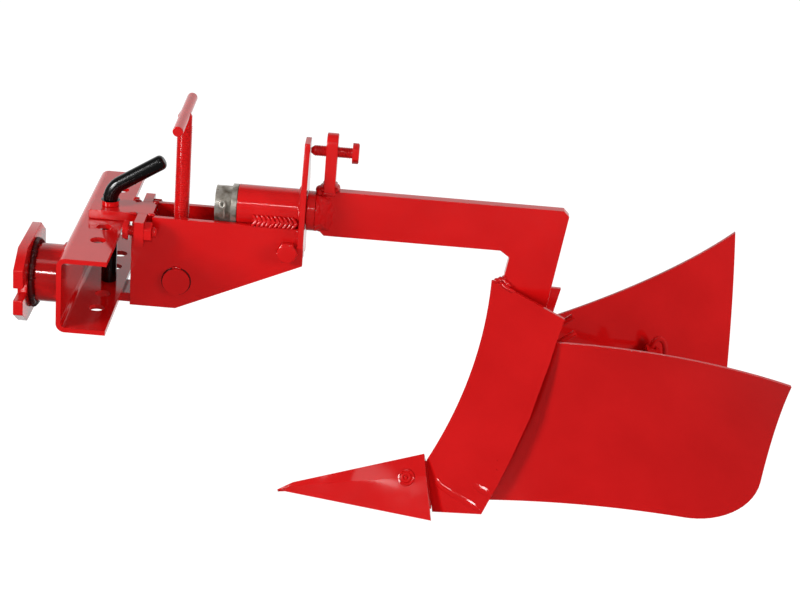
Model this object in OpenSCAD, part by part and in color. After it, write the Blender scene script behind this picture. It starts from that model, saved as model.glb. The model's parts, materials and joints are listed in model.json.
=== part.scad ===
// Walk-behind ridger: hitch, swing block, depth screw, roll hub, beam, ridging body and two hinged wings.
// Frame: X rearward, Y to the right-hand side, Z up. The origin is the middle of the hitch plate's front face.

/* [Hitch] */
// Width of the hitch plate across the machine
plate_width = 120; // [110:1:126]
// Height of the hitch plate
plate_height = 80; // [72:1:84]
// Thickness of the hitch plate
plate_thickness = 10; // [8:0.5:12]
// Corner cut of the hitch plate, across the machine
plate_cut_across = 24; // [16:1:26]
// Corner cut of the hitch plate, in height
plate_cut_height = 16; // [10:1:18]
// Height of the latch notch in each side of the plate
notch_height = 13; // [8:1:15]
// Depth of the latch notch
notch_depth = 22; // [12:1:24]
// Outside diameter of the spigot tube
spigot_diameter = 60; // [50:1:64]
// Wall of the spigot tube
spigot_wall = 6; // [4:0.5:10]
// Length of the spigot tube
spigot_length = 32.5; // [28:0.5:38]

/* [Cross channel] */
// Height of the channel
channel_height = 80; // [78:0.5:82]
// Depth of the channel, from its web to its flange edges
channel_depth = 50; // [48:0.5:51]
// Wall of the channel
channel_wall = 5; // [4:0.5:6]
// Outer bend radius of the channel
channel_bend = 9; // [7:0.5:11]
// Length of the channel across the machine
channel_length = 266; // [250:2:300]
// Diameter of the holes in the flanges
hole_diameter = 16.2; // [16.2:0.1:17]
// Distance from hole to hole
hole_pitch = 38; // [34:0.5:40]

/* [Lock pin] */
// Diameter of the lock pin
pin_diameter = 16; // [14:0.5:16]
// Radial room round the lock pin
pin_room = 0.1; // [0.05:0.01:0.1]
// Diameter of the pin's collar
pin_collar_diameter = 18; // [17.5:0.5:20]
// Height of the pin's collar
pin_collar_height = 6; // [4:0.5:8]
// Length of the pin below the lower tongue
pin_below = 6; // [3:0.5:10]
// Diameter of the bent handle rod
handle_diameter = 10; // [8:0.5:11]
// Outside diameter of the grip
grip_diameter = 16; // [14:0.5:17]
// Centre-line radius of the handle's bend
handle_bend = 22; // [18:1:26]
// Angle that the handle turns through
handle_turn = 57; // [50:1:62]
// Thickness of the grip's closed end
grip_cap = 4; // [3:0.5:6]
// Straight length of the grip after the bend
grip_length = 54; // [44:1:55]

/* [Swing block] */
// Width of the tongues between the cheeks
tongue_width = 37; // [36:0.5:37.2]
// Thickness of each tongue
tongue_thickness = 10; // [9:0.5:10.5]
// Room between a tongue and the channel
tongue_room = 0.5; // [0.4:0.1:0.8]
// Reach of the tongues in front of the lock pin
tongue_nose = 20; // [16:1:24]
// Reach of the upper tongue behind the lock pin
tongue_tail = 47; // [44:1:49]
// Reach of the screw seat behind the depth screw
seat_tail = 9; // [8:0.5:12]
// Thickness of the screw seat
seat_thickness = 6; // [5:0.5:6]
// Thickness of each inner arm
arm_thickness = 7; // [5:0.5:7.5]
// Height of each inner arm
arm_height = 20; // [18:0.5:22]
// Thickness of the ears along the machine
ear_thickness = 10; // [8:0.5:11]
// Reach of the ears beyond the cheeks
ear_reach = 20; // [18:0.5:24]
// Height of the ears
ear_height = 27; // [24:0.5:29]
// Width of the ear arm over the cheek
ear_arm_height = 8; // [6:0.5:9]

/* [Swing screws] */
// Thread diameter of the swing and roll screws
screw_diameter = 12; // [10:0.5:12]
// Size across flats of their hex heads
screw_flats = 19; // [17:0.5:20]
// Height of their hex heads
screw_head = 7; // [6:0.5:7.5]
// Height of the lock nuts
screw_nut = 8; // [6:0.5:9]
// Gap between a swing screw's head and the channel
screw_gap = 1.3; // [1.2:0.1:1.6]
// Length that stands out past a lock nut
screw_end = 5; // [3:0.5:8]
// Radial room of a screw in its hole
screw_room = 0.1; // [0.05:0.01:0.1]

/* [Cheeks and pivot] */
// Thickness of each cheek
cheek_thickness = 6; // [5:0.5:7]
// Gap between the cheeks
cheek_gap = 38; // [38:0.1:38.6]
// Height of the cheeks' top edge above the spigot axis
cheek_top = 50; // [49:0.5:51]
// Depth of the cheeks' bottom edge below the spigot axis
cheek_bottom = 51; // [51:0.5:54]
// Gap from the channel to the cheeks' front edge
cheek_front_gap = 8.5; // [8:0.5:10]
// Length of the cheeks
cheek_length = 180; // [178:1:182]
// Length of the cheeks' level bottom edge
cheek_level = 48; // [44:1:60]
// Height of the cheeks' rear corner above the spigot axis
cheek_heel = 9; // [5:0.5:11]
// Height of the pitch pivot above the spigot axis
pivot_height = 25; // [24:0.5:26]
// Distance of the pitch pivot from the cheeks' rear edge
pivot_inset = 16.5; // [16.5:0.5:18]
// Thread diameter of the pivot bolt
pivot_diameter = 14; // [12:0.5:15]
// Size across flats of the pivot bolt
pivot_flats = 20; // [18:0.5:20]
// Height of the pivot bolt's head and nut
pivot_head = 9; // [7:0.5:10]

/* [Depth screw] */
// Distance of the depth screw behind the cheeks' front edge
depth_inset = 48.5; // [47:0.5:50]
// Depth of the cross nut below the spigot axis
cross_nut_depth = 19.5; // [19:0.5:20.5]
// Diameter of the cross nut in the cheeks
cross_nut_diameter = 29; // [27:0.5:30]
// Diameter of the cross nut between the cheeks
cross_nut_waist = 23; // [22:0.5:24]
// How far the cross nut stands out of each cheek
cross_nut_proud = 3; // [2:0.5:5]
// Diameter of the depth screw
depth_diameter = 16; // [14:0.5:16]
// Height of the T-bar above the spigot axis
t_bar_height = 157; // [150:1:165]
// Diameter of the T-bar
t_bar_diameter = 11; // [10:0.5:12]
// Length of the T-bar
t_bar_length = 118; // [100:1:124]
// Diameter of the thrust pad under the screw
thrust_diameter = 13; // [11:0.5:13]
// Height of the thrust pad
thrust_height = 5; // [4:0.5:6]

/* [Roll hub] */
// Height of the hub axis above the spigot axis
hub_height = 63; // [62.5:0.5:63.5]
// Outside diameter of the hub tube
hub_diameter = 44; // [43:0.5:45]
// Diameter of the shaft in the hub
shaft_diameter = 30; // [26:0.5:32]
// Length of the hub tube
hub_length = 72; // [66:1:74]
// Thickness of the washer in front of the hub
washer_thickness = 6; // [4:0.5:7]
// Diameter of the washer
washer_diameter = 43.5; // [42:0.5:46]
// Length of the bare collar on the shaft's end
collar_length = 17; // [16:0.5:20]
// Diameter of the collar
collar_diameter = 38; // [37:0.5:40]
// Diameter of the split pin
split_pin_diameter = 5; // [4:0.5:6]
// Thickness of the roll plate
roll_plate_thickness = 6; // [5:0.5:7]
// Width of the roll plate at the hub
roll_plate_width = 66; // [62:1:70]
// Width of the roll plate's top
roll_plate_top_width = 24; // [20:1:28]
// Height of the roll plate's top above the hub axis
roll_plate_top = 77; // [74:1:80]
// Height of the roll plate's shoulders above the hub axis
roll_plate_shoulder = 24; // [20:1:28]
// Depth of the roll plate's sides below the hub axis
roll_plate_side = 32; // [30:1:34]
// Depth of the roll plate's bottom below the hub axis
roll_plate_bottom = 50; // [48:1:53]
// Length of the shoulder ring between the hub and the beam
ring_length = 9; // [7:0.5:11]
// Diameter of the shoulder ring
ring_diameter = 42; // [40:0.5:44]

/* [Beam] */
// Height of the beam's flat bar
beam_height = 50; // [48:0.5:52]
// Thickness of the beam's flat bar
beam_thickness = 12; // [10:0.5:13]
// Length of the beam from its front end to its rear corner
beam_length = 265; // [260:1:270]
// Corner cut of the beam's front end
beam_cut = 10; // [6:0.5:12]
// Corner cut of the beam's rear top corner
beam_rear_cut = 6; // [4:0.5:8]
// Width of the leg
leg_width = 58; // [54:0.5:62]
// Height of the leg's end above the share's point
leg_clear = 48; // [44:1:54]
// How far the leg leans forward over its length
leg_rake = 38; // [34:1:42]
// Width of the upright along the beam
upright_width = 12; // [11:0.5:14]
// Width of the upright across the beam
upright_across = 24; // [20:0.5:26]
// Height of the upright above the beam
upright_height = 62; // [58:1:66]
// Gap from the beam's front end to the upright
upright_inset = 7; // [5:0.5:9]
// Height of the roll screw below the upright's top
roll_screw_drop = 20; // [18:0.5:22]

/* [Ridging body] */
// Rolling radius of the mouldboards
mould_radius = 974; // [940:1:1010]
// Thickness of the mouldboards
mould_thickness = 4; // [3:0.5:4.5]
// Height of the mouldboards' rear top corner below the spigot axis
mould_top = 18; // [14:1:22]
// Height of the mouldboards' foot above the share's point
mould_foot = 16; // [12:1:22]
// Distance of the mouldboards' rear top corner behind the hitch face
mould_rear = 560; // [556:1:563]
// How far the mouldboards' rear edge runs forward to its foot
mould_run = 65; // [60:1:70]
// Distance of the share's point behind the hitch face
blade_tip = 270; // [262:1:276]
// Depth of the share's point below the spigot axis
blade_depth = 272; // [270:1:275]
// Length of the share along its ridge
blade_ridge = 158; // [154:1:160]
// Rise of the share's ridge
blade_rise = 60.5; // [58:0.5:62]
// Length of the share along its foot
blade_foot = 171; // [168:1:173]
// Half width of the share's foot
blade_half_width = 41; // [38:0.5:43]
// Thickness of the share
blade_thickness = 5; // [4:0.5:6]
// Diameter of the share bolts
blade_bolt_diameter = 10; // [8:0.5:10]
// Diameter of the share bolts' countersunk heads
blade_bolt_head = 17; // [15:0.5:18]
// Thickness of the frog webs
web_thickness = 6; // [5:0.5:8]

/* [Wings] */
// Rolling radius of the wings
wing_radius = 420; // [410:1:430]
// Thickness of the wings
wing_thickness = 3; // [2.5:0.25:3.5]
// Height of the wings' rear tip above the spigot axis
wing_tip_height = 2.6; // [-4:0.2:6]
// Length of the wings from the middle of their hinge to their rear edge
wing_length = 247; // [236:1:256]
// Height of the wings' front top corner below the spigot axis
wing_front_top = 50; // [48:0.5:54]
// Height of the wings' front foot above the share's point
wing_front_rise = 27; // [26:0.5:32]
// Height of the wings' rear foot above the share's point
wing_rear_rise = 67; // [60:1:72]
// Corner radius of the wings' rear foot
wing_corner = 74; // [60:1:80]
// Diameter of the hinge pins
hinge_diameter = 7; // [6:0.5:7]
// Outside diameter of the hinge eyes
hinge_eye = 12; // [11:0.5:12.5]
// Distance of the hinge eye's top below the wing's front top corner
eye_drop = 34; // [26:1:40]
// Radial room in the hinge eyes
hinge_room = 0.1; // [0.05:0.01:0.1]
// Height of each knuckle on the mouldboards
knuckle_height = 9; // [7:0.5:10]
// Length of the hinge pins' bent tops
hinge_top = 38; // [30:1:42]

/* [Wing stay] */
// Width of the stay bars
stay_width = 17; // [16:0.5:20]
// Thickness of the stay bars
stay_thickness = 5; // [4:0.5:6]
// Length of each stay bar between its pivot and its free end
stay_length = 107; // [105:0.5:109]
// Gap between the stay bars, and between a bar and its lug
stay_gap = 0.4; // [0.3:0.05:0.6]
// Distance of the stay behind the hitch face
stay_back = 667; // [660:1:674]
// Depth of the stay below the spigot axis
stay_depth = 114; // [104:1:120]
// Half distance between the stay pivots
stay_pivot = 72; // [70:0.5:73]
// Diameter of the stay pivots and of the clamp bolt
stay_bolt = 8; // [6:0.5:8]

/* [Hidden] */
$fn = 64;
// Overrun of every cut
cut = 1;
// Share of the latch notch that lies below the spigot axis
notch_share = 0.65;
// Gap under the pin's collar, and end play between turning faces
lift_gap = 0.3;
play = 0.4;
// Gap under the thrust pad, and the joint between the pad and the screw
pad_gap = 0.8;
pad_joint = 0.1;
// Shares of the depth screw's top over the T-bar and of its taper, and of the roll screw's cone
t_bar_share = 0.2;
taper_share = 0.15;
cone_share = 0.3;
// Ears: distance behind the cheeks' front edge, and room beside, under and behind them
ear_inset = 5;
ear_room = 0.7;
ear_under = 1;
ear_slot = 6;
// Inner arms: start behind the cheeks' front edge, and the run of their lower and upper slopes
arm_start = 2;
arm_low_run = 14;
arm_run = 6;
// Bevel of a screw head, the bolt past the pivot nut, and the roll screw's length behind the upright
head_bevel = 1;
bolt_end = 4;
roll_screw_stand = 15;
// Room of the washer between the cheeks, and of the roll plate's foot; bevel of the foot
washer_room = 1;
foot_room = 1;
foot_bevel = 8;
// Split pin: turn about the hub, stand out of the collar, eye and tail
split_pin_turn = -17;
split_pin_out = 2;
split_pin_eye = 3;
split_pin_tail = 0.5;
eye_share = 1.8;
// Gusset between the beam and its leg, and its run along the beam
gusset = 7;
gusset_run = 3;
// Mouldboards: reach of their outline past the prow, the crown's run and height, and room at the share
prow_margin = 30;
prow_over = 2;
crown_run = 12;
crown_height = 2;
blade_lap = 3;
foot_lift = 0.5;
blade_seam = 1.2;
// Height below which the beam is trimmed to the mouldboards
mould_clear = 9.5;
// Frog webs: heights as shares of the mouldboards, forward reach and length
web_shares = [-0.26, -0.68];
web_forward = 44;
web_length = 30;
// Share bolts: tail behind the share and stand of the head; seat block behind the share
blade_bolt_tail = 3;
blade_bolt_proud = 0.5;
blade_seat_length = 52;
blade_seat_inset = 8;
blade_seat_share = 0.7;
leg_slot = 20;
// Hinges: relief of a knuckle's tab, room over and under the wing's eye, pin past the lower knuckle
tab_relief = 1;
eye_over = 3;
eye_under = 1.5;
hinge_tail = 2.5;
hinge_bend = 36;
// Angle by which a bent rod runs into its straight part, and the share of its diameter there
bend_lap = 1;
bend_share = 0.985;
// Relief in the wing round the upper knuckle
knuckle_relief = 1.5;
// Wings: forward run of the rear tip and step round the rear corner
tip_run = 2;
corner_step = 6;
// Stay: lug height and reach, bar end past the clamp, slot, pin heads and clamp bolt
lug_height = 12;
lug_reach = 40;
lug_share = 0.8;
stay_end = 12;
slot_start = 18;
slot_room = 1;
pin_head = 4;
pin_head_gap = 0.5;
clamp_head = 5;
clamp_nut_height = 7;
clamp_top = 14;
flats_share = 1.6;

// Places along the machine
offset = 2 * hole_pitch;
channel_front = plate_thickness + spigot_length;
channel_rear = channel_front + channel_depth;
channel_half = channel_height / 2;
pin_share = 0.6;
pin_x = channel_front + channel_wall + (channel_depth - channel_wall) * pin_share;
tongue_top = channel_half + tongue_room + tongue_thickness;
tongue_under = channel_half + tongue_room;
handle_low = tongue_top + lift_gap + pin_collar_height;
cheek_front = channel_rear + cheek_front_gap;
cheek_rear = cheek_front + cheek_length;
cheek_inner = cheek_gap / 2;
cheek_outer = cheek_inner + cheek_thickness;
depth_x = cheek_front + depth_inset;
pivot_x = cheek_rear - pivot_inset;
seat_top = tongue_top - seat_thickness;
arm_inner = tongue_width / 2 - arm_thickness;
ear_x = cheek_front + ear_inset;
ear_inner = cheek_outer + ear_room;
ear_outer = cheek_outer + ear_reach;
ear_bottom = tongue_top - ear_height;
swing_y = (ear_inner + ear_outer) / 2;
swing_z = channel_half - channel_wall / 2;
ear_notch = tongue_top - ear_arm_height - ear_under;
screw_bore = screw_diameter + 2 * screw_room;
hub_rear = cheek_rear;
hub_front = hub_rear - hub_length;
roll_front = cheek_rear - roll_plate_thickness;
washer_front = hub_front - play - washer_thickness;
collar_front = washer_front - collar_length;
ring_front = hub_rear + play;
beam_front = ring_front + ring_length;
beam_rear = beam_front + beam_length;
beam_top = hub_height + beam_height / 2;
beam_bottom = hub_height - beam_height / 2;
leg_depth = blade_depth - leg_clear;
mould_height = blade_depth - mould_top - mould_foot;
wing_front_foot = blade_depth - wing_front_rise;
wing_rear_foot = blade_depth - wing_rear_rise;
upright_front = beam_front + upright_inset;
upright_top = beam_top + upright_height;
roll_screw_z = upright_top - roll_screw_drop;
pad_low = -seat_top + pad_gap;

// The mouldboards' rolling axis and a point of the prow at mid height
mould_axis = [0.8708, -0.4915, -0.0119];
mould_lean = 95.66;
prow_back = 84.8;
prow_share = 0.36;
prow_mid = [beam_rear - prow_back, 0, -mould_top - prow_share * mould_height];
rear_edge_shares = [
  [0, 0], [0.12, 0.09], [0.22, 0.15], [0.36, 0.26], [0.5, 0.37], [0.69, 0.58], [0.85, 0.78], [1, 1]
];
// The share's three corners
blade_a = [blade_tip, 0, -blade_depth];
blade_b = [blade_tip + blade_ridge, 0, -blade_depth + blade_rise];
blade_c = [blade_tip + blade_foot, -blade_half_width, -blade_depth];
bolt_along_share = 0.87;
bolt_down_share = 0.3;

// The hinge axis of the near wing, leaning back at its top
hinge_rake = 15.5;
hinge_y = 22;
hinge_forward = 36;
hinge_mid = [mould_rear - hinge_forward, -hinge_y, -mould_top - mould_height / 2];
hinge_line = [sin(hinge_rake), 0, cos(hinge_rake)];
wing_lean = [-48.67, 23.15];
wing_phase = 81.26;
wing_aside = 0.8;
wing_rear = hinge_mid[0] + wing_length;
wing_mid = [hinge_mid[0], -hinge_y - wing_aside, hinge_mid[2]];

function unit(v) = v / norm(v);
function side_of(a) = unit(cross([0, 1, 0], a));
function on_hinge(z) = [hinge_mid[0] + (z - hinge_mid[2]) * tan(hinge_rake), -hinge_y, z];
function ring_point(c, a, phase, r) = c - r * (cos(phase) * side_of(a) + sin(phase) * cross(a, side_of(a)));

wing_axis = unit([tan(wing_lean[0]), tan(wing_lean[1]), 1]);
wing_centre = ring_point(wing_mid, wing_axis, wing_phase, wing_radius);
mould_unit = unit(-mould_axis);
mould_centre = ring_point(prow_mid, mould_unit, mould_lean, mould_radius);

// Frames and shared forms

// Puts local Z along a direction at a place
module lay(place, z_axis) {
  z = unit(z_axis);
  x = abs(z[1]) > 0.999 ? [1, 0, 0] : side_of(z);
  y = cross(z, x);
  multmatrix([
    [x[0], y[0], z[0], place[0]],
    [x[1], y[1], z[1], place[1]],
    [x[2], y[2], z[2], place[2]],
    [0, 0, 0, 1]
  ]) children();
}

// A copy on the far side
module far() {
  mirror([0, 1, 0]) children();
}

// Moves what hangs on the channel's middle hole over from the hitch axis
module on_beam_line() {
  translate([0, offset, 0]) children();
}

// A plate outline in X and Z, spread from y0 to y1
module upright_plate(y0, y1) {
  translate([0, y1, 0]) rotate([90, 0, 0]) linear_extrude(y1 - y0) children();
}

// A box from one corner to the other
module box(low, high) {
  translate(low) cube(high - low);
}

// A round bar along X, Y or Z
module bar_x(x0, x1, y, z, d) {
  translate([x0, y, z]) rotate([0, 90, 0]) cylinder(d = d, h = x1 - x0);
}
module bar_y(y0, y1, x, z, d) {
  translate([x, y1, z]) rotate([90, 0, 0]) cylinder(d = d, h = y1 - y0);
}
module bar_z(z0, z1, x, y, d) {
  translate([x, y, z0]) cylinder(d = d, h = z1 - z0);
}

// A hexagon of a given size across flats, along Z
module hex(flats, h) {
  cylinder(d = flats / cos(30), h = h, $fn = 6);
}

// Solid inside the near mouldboard's inner face, and inside the near wing's
module mould_core(grow) {
  lay(mould_centre, mould_unit) translate([0, 0, -mould_radius])
    cylinder(r = mould_radius + grow, h = 2 * mould_radius, $fn = 200);
}
module mould_trim() {
  intersection() {
    mould_core(mould_thickness);
    box([blade_tip, -blade_foot, -2 * blade_depth], [mould_rear, blade_foot, mould_clear]);
  }
}
module wing_core(grow) {
  lay(wing_centre, wing_axis) translate([0, 0, -2 * wing_radius])
    cylinder(r = wing_radius + grow, h = 4 * wing_radius, $fn = 200);
}

// Hitch

module hitch_plate() {
  half = plate_width / 2;
  top = plate_height / 2;
  across = half - plate_cut_across;
  drop = top - plate_cut_height;
  color("firebrick") difference() {
    rotate([90, 0, 90]) linear_extrude(plate_thickness) polygon([
      [-across, -top], [across, -top], [half, -drop], [half, drop],
      [across, top], [-across, top], [-half, drop], [-half, -drop]
    ]);
    for (side = [-1, 1])
      translate([-cut, side * half - notch_depth, -notch_height * notch_share])
        cube([plate_thickness + 2 * cut, 2 * notch_depth, notch_height]);
  }
}

module spigot_tube() {
  color("firebrick") difference() {
    bar_x(plate_thickness, channel_front, 0, 0, spigot_diameter);
    bar_x(plate_thickness - cut, channel_front + cut, 0, 0, spigot_diameter - 2 * spigot_wall);
  }
}

// Section of the channel: web at the left, two bent corners, open to the right
module channel_section(grow) {
  r = channel_bend - grow;
  half = channel_half - grow;
  x0 = grow;
  translate([x0 + r, -half]) square([channel_depth + grow - r, 2 * half]);
  translate([x0, -half + r]) square([channel_depth, 2 * (half - r)]);
  for (side = [-1, 1])
    translate([x0 + r, side * (half - r)]) circle(r);
}

module cross_channel() {
  color("firebrick") translate([channel_front, offset, 0]) difference() {
    translate([0, channel_length / 2, 0]) rotate([90, 0, 0]) linear_extrude(channel_length) difference() {
      intersection() {
        channel_section(0);
        translate([0, -channel_half]) square([channel_depth, channel_height]);
      }
      channel_section(channel_wall);
    }
    for (i = [-2:2])
      bar_z(-channel_height, channel_height, pin_x - channel_front, i * hole_pitch, hole_diameter);
  }
}

// Lock pin

module lock_pin() {
  color("firebrick") on_beam_line() translate([pin_x, 0, 0]) union() {
    bar_z(-tongue_top - pin_below, handle_low, 0, 0, pin_diameter);
    bar_z(handle_low - pin_collar_height, handle_low, 0, 0, pin_collar_diameter);
    handle_bend_form(bend_lap) circle(d = handle_diameter);
    handle_straight(0, grip_length - grip_cap) circle(d = handle_diameter);
  }
}

// The handle's bend with a given section, run on by a lap angle, and its straight end
module handle_bend_form(lap) {
  translate([handle_bend, 0, handle_low]) rotate([90, 0, 0]) rotate([0, 0, 180 - handle_turn])
    rotate_extrude(angle = handle_turn + lap) translate([handle_bend, 0]) children();
}
module handle_straight(from, to) {
  translate([handle_bend, 0, handle_low]) rotate([0, handle_turn, 0]) translate([-handle_bend, 0, from])
    linear_extrude(to - from) children();
}

module pin_grip() {
  color("black") on_beam_line() translate([pin_x, 0, 0]) union() {
    handle_bend_form(0) grip_ring();
    handle_straight(0, grip_length - grip_cap) grip_ring();
    handle_straight(grip_length - grip_cap, grip_length) circle(d = grip_diameter);
  }
}
module grip_ring() {
  difference() {
    circle(d = grip_diameter);
    circle(d = handle_diameter);
  }
}

// Swing block

module upper_tongue() {
  half = tongue_width / 2;
  color("firebrick") on_beam_line() difference() {
    box([pin_x - tongue_nose, -half, tongue_under], [pin_x + tongue_tail, half, tongue_top]);
    bar_z(tongue_under - cut, tongue_top + cut, pin_x, 0, pin_diameter + 2 * pin_room);
  }
}

module lower_tongue() {
  half = tongue_width / 2;
  tail = depth_x + seat_tail;
  knee = min(cheek_front + cheek_level, tail);
  bevel = (tail - knee) * (cheek_bottom + cheek_heel) / (cheek_rear - knee);
  color("firebrick") on_beam_line() difference() {
    union() {
      box([pin_x - tongue_nose, -half, -tongue_top], [pin_x + tongue_tail, half, -tongue_under]);
      upright_plate(-half, half) polygon([
        [pin_x, -tongue_top], [knee, -tongue_top], [tail, bevel - tongue_top], [tail, -seat_top], [pin_x, -seat_top]
      ]);
    }
    bar_z(-tongue_top - cut, -tongue_under + cut, pin_x, 0, pin_diameter + 2 * pin_room);
  }
}

// Two arms joining the tongues and reaching back to the pitch pivot
module inner_arms() {
  front = cheek_front + arm_start;
  tail = pin_x + tongue_tail;
  top = pivot_height + arm_height / 2;
  low = pivot_height - arm_height / 2;
  color("firebrick") on_beam_line() for (side = [0, 1]) mirror([0, side, 0]) difference() {
    union() {
      upright_plate(-tongue_width / 2, -arm_inner) polygon([
        [front, -tongue_under], [tail - arm_low_run, -tongue_under], [tail + arm_run, low],
        [pivot_x, low], [pivot_x, top], [tail + arm_run, top], [tail, tongue_under], [front, tongue_under]
      ]);
      bar_y(-tongue_width / 2, -arm_inner, pivot_x, pivot_height, arm_height);
    }
    bar_y(-cheek_outer, 0, pivot_x, pivot_height, pivot_diameter + 2 * screw_room);
  }
}

// An ear beside the cheek, hung from the upper tongue by an arm over the cheek
module ear() {
  rear = ear_x + ear_thickness;
  color("firebrick") on_beam_line() difference() {
    union() {
      box([ear_x, -ear_outer, ear_bottom], [rear, -ear_inner, tongue_top]);
      box([ear_x, -ear_inner - cut, tongue_top - ear_arm_height], [rear, -tongue_width / 2, tongue_top]);
    }
    bar_x(ear_x - cut, rear + cut, -swing_y, swing_z, screw_bore);
  }
}
module ear_near() {
  ear();
}
module ear_far() {
  on_beam_line() far() translate([0, -offset, 0]) ear();
}

module swing_lock_nuts() {
  color("firebrick") on_beam_line() for (side = [-1, 1])
    translate([ear_x + ear_thickness, side * swing_y, swing_z]) rotate([0, 90, 0]) difference() {
      hex(screw_flats, screw_nut);
      translate([0, 0, -cut]) cylinder(d = screw_bore, h = screw_nut + 2 * cut);
    }
}

// A hex-headed screw along X, its head at the front
module swing_screw(side) {
  front = channel_rear + screw_gap;
  end = ear_x + ear_thickness + screw_nut + screw_end;
  color("firebrick") on_beam_line() union() {
    translate([front, side * swing_y, swing_z]) rotate([0, 90, 0]) hex(screw_flats, screw_head - head_bevel);
    bar_x(front, end, side * swing_y, swing_z, screw_diameter);
  }
}
module swing_screw_near() {
  swing_screw(-1);
}
module swing_screw_far() {
  swing_screw(1);
}

// Cheeks and what is welded to them

module cheek() {
  knee = cheek_front + cheek_level;
  side = hub_height - roll_plate_side;
  notch = ear_x + ear_thickness + ear_slot;
  color("firebrick") on_beam_line() difference() {
    upright_plate(-cheek_outer, -cheek_inner) polygon([
      [cheek_front, -cheek_bottom], [knee, -cheek_bottom], [cheek_rear, cheek_heel], [cheek_rear, side],
      [roll_front, side], [roll_front, cheek_top], [notch, cheek_top],
      [notch, ear_notch], [cheek_front, ear_notch]
    ]);
    bar_x(hub_front - cut, hub_rear + cut, 0, hub_height, hub_diameter);
    bar_x(collar_front - cheek_length, hub_front, 0, hub_height, washer_diameter + washer_room);
    bar_y(-cheek_outer - cut, cut, depth_x, -cross_nut_depth, cross_nut_diameter);
    bar_y(-cheek_outer - cut, cut, pivot_x, pivot_height, pivot_diameter);
  }
}
module cheek_near() {
  cheek();
}
module cheek_far() {
  on_beam_line() far() translate([0, -offset, 0]) cheek();
}

module hub_tube() {
  color("firebrick") on_beam_line() difference() {
    bar_x(hub_front, hub_rear, 0, hub_height, hub_diameter);
    bar_x(hub_front - cut, hub_rear + cut, 0, hub_height, shaft_diameter + 2 * pin_room);
  }
}

module roll_plate() {
  half = roll_plate_width / 2;
  foot = cheek_inner - foot_room;
  bevel = foot - foot_bevel;
  low = -roll_plate_bottom;
  top = roll_plate_top_width / 2;
  color("firebrick") on_beam_line() difference() {
    translate([roll_front, 0, hub_height]) rotate([90, 0, 90]) linear_extrude(roll_plate_thickness) polygon([
      [-foot, low + foot_bevel], [-bevel, low], [bevel, low],
      [foot, low + foot_bevel], [foot, -roll_plate_side], [half, -roll_plate_side],
      [half, roll_plate_shoulder], [top, roll_plate_top], [-top, roll_plate_top], [-half, roll_plate_shoulder],
      [-half, -roll_plate_side], [-foot, -roll_plate_side]
    ]);
    bar_x(roll_front - cut, cheek_rear + cut, 0, hub_height, hub_diameter);
  }
}

module pivot_bolt() {
  color("firebrick") on_beam_line() union() {
    bar_y(-cheek_outer, cheek_outer + pivot_head + bolt_end, pivot_x, pivot_height, pivot_diameter);
    translate([pivot_x, -cheek_outer, pivot_height]) rotate([90, 30, 0]) hex(pivot_flats, pivot_head);
  }
}

module pivot_nut() {
  y = cheek_outer + pivot_head;
  color("firebrick") on_beam_line() translate([pivot_x, y, pivot_height]) rotate([90, 30, 0]) difference() {
    hex(pivot_flats, pivot_head);
    translate([0, 0, -cut]) cylinder(d = pivot_diameter, h = pivot_head + 2 * cut);
  }
}

// Round nut across the cheeks, bored upright for the depth screw
module cross_nut() {
  end = cheek_outer + cross_nut_proud;
  color("firebrick") on_beam_line() difference() {
    union() {
      bar_y(-end, -cheek_inner, depth_x, -cross_nut_depth, cross_nut_diameter);
      bar_y(-cheek_inner, cheek_inner, depth_x, -cross_nut_depth, cross_nut_waist);
      bar_y(cheek_inner, end, depth_x, -cross_nut_depth, cross_nut_diameter);
    }
    bar_z(-cheek_bottom, cheek_top, depth_x, 0, depth_diameter + 2 * screw_room);
  }
}

// Depth screw

module thrust_pad() {
  color("silver") on_beam_line() bar_z(pad_low, pad_low + thrust_height, depth_x, 0, thrust_diameter);
}

module depth_screw() {
  low = pad_low + thrust_height + pad_joint;
  top = t_bar_height + t_bar_diameter * t_bar_share;
  taper = depth_diameter * taper_share;
  color("firebrick") on_beam_line() difference() {
    union() {
      bar_z(low, top - taper, depth_x, 0, depth_diameter);
      translate([depth_x, 0, top - taper])
        cylinder(d1 = depth_diameter, d2 = depth_diameter - 2 * taper, h = taper);
    }
    bar_y(-depth_diameter, depth_diameter, depth_x, t_bar_height, t_bar_diameter);
  }
}

module t_bar() {
  color("firebrick") on_beam_line()
    bar_y(-t_bar_length / 2, t_bar_length / 2, depth_x, t_bar_height, t_bar_diameter);
}

// Shaft and beam

module shaft() {
  color("silver") on_beam_line() difference() {
    bar_x(collar_front, beam_front, 0, hub_height, shaft_diameter);
    split_pin_hole();
  }
}
module split_pin_hole() {
  rotate_about_hub(split_pin_turn)
    bar_y(-collar_diameter, collar_diameter, collar_front + collar_length / 2, hub_height, split_pin_diameter);
}
module rotate_about_hub(angle) {
  translate([0, 0, hub_height]) rotate([angle, 0, 0]) translate([0, 0, -hub_height]) children();
}

module shaft_washer() {
  color("silver") on_beam_line() difference() {
    bar_x(washer_front, washer_front + washer_thickness, 0, hub_height, washer_diameter);
    bar_x(washer_front - cut, hub_front, 0, hub_height, shaft_diameter);
  }
}

module shaft_collar() {
  color("silver") on_beam_line() difference() {
    bar_x(collar_front, washer_front, 0, hub_height, collar_diameter);
    bar_x(collar_front - cut, washer_front + cut, 0, hub_height, shaft_diameter);
    split_pin_hole();
  }
}

// Split pin with a round eye on the near side
module split_pin() {
  reach = collar_diameter / 2 + split_pin_out;
  x = collar_front + collar_length / 2;
  color("silver") on_beam_line() rotate_about_hub(split_pin_turn) union() {
    bar_y(-reach, reach + split_pin_tail, x, hub_height, split_pin_diameter);
    bar_y(-reach - split_pin_eye, -reach, x, hub_height, eye_share * split_pin_diameter);
  }
}

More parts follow.
